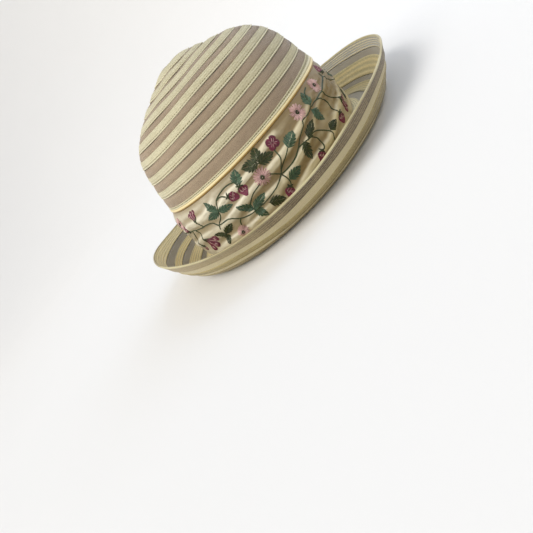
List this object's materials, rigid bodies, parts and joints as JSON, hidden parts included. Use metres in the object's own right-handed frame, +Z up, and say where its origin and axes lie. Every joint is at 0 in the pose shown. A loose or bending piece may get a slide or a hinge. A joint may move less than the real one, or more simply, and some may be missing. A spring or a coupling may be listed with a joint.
{
  "type": "summer hat",
  "caption": "Summer hat with a domed crown and upturned oval brim of alternating straw braid and sheer rings, a draped satin band and a corded rim.",
  "frame": {"origin": "under the middle of the hat's length and width, on the plane that the fold of the brim rests on", "axes": "+Z up along the crown's axis, -Y towards the front of the hat, +X towards the wearer's left"},
  "size_m": [0.2664, 0.3224, 0.1577],
  "materials": {
    "straw": "woven straw braid, matte with a faint sheen",
    "straw_brim": "ribbed straw braid, matte",
    "sheer": "fine sheer woven cloth",
    "satin": "soft draped satin",
    "cord": "rolled satin and corded braid"
  },
  "bodies": {
    "root": {"crown_tip": "straw", "crown_sheer_foot": "sheer", "crown_sheer_1": "sheer", "crown_sheer_2": "sheer", "crown_sheer_3": "sheer", "crown_sheer_4": "sheer", "crown_sheer_5": "sheer", "crown_sheer_6": "sheer", "crown_straw_2": "straw", "crown_straw_3": "straw", "crown_straw_4": "straw", "crown_straw_5": "straw", "crown_straw_6": "straw", "crown_straw_7": "straw", "crown_straw_8": "straw", "crown_straw_9": "straw", "band": "satin", "band_piping": "cord", "brim_straw_foot": "straw_brim", "brim_sheer_inner": "sheer", "brim_straw_fold": "straw_brim", "brim_sheer_middle": "sheer", "brim_straw_middle": "straw_brim", "brim_sheer_outer": "sheer", "brim_straw_rim": "straw_brim", "rim_cord": "cord"}
  },
  "joints": []
}
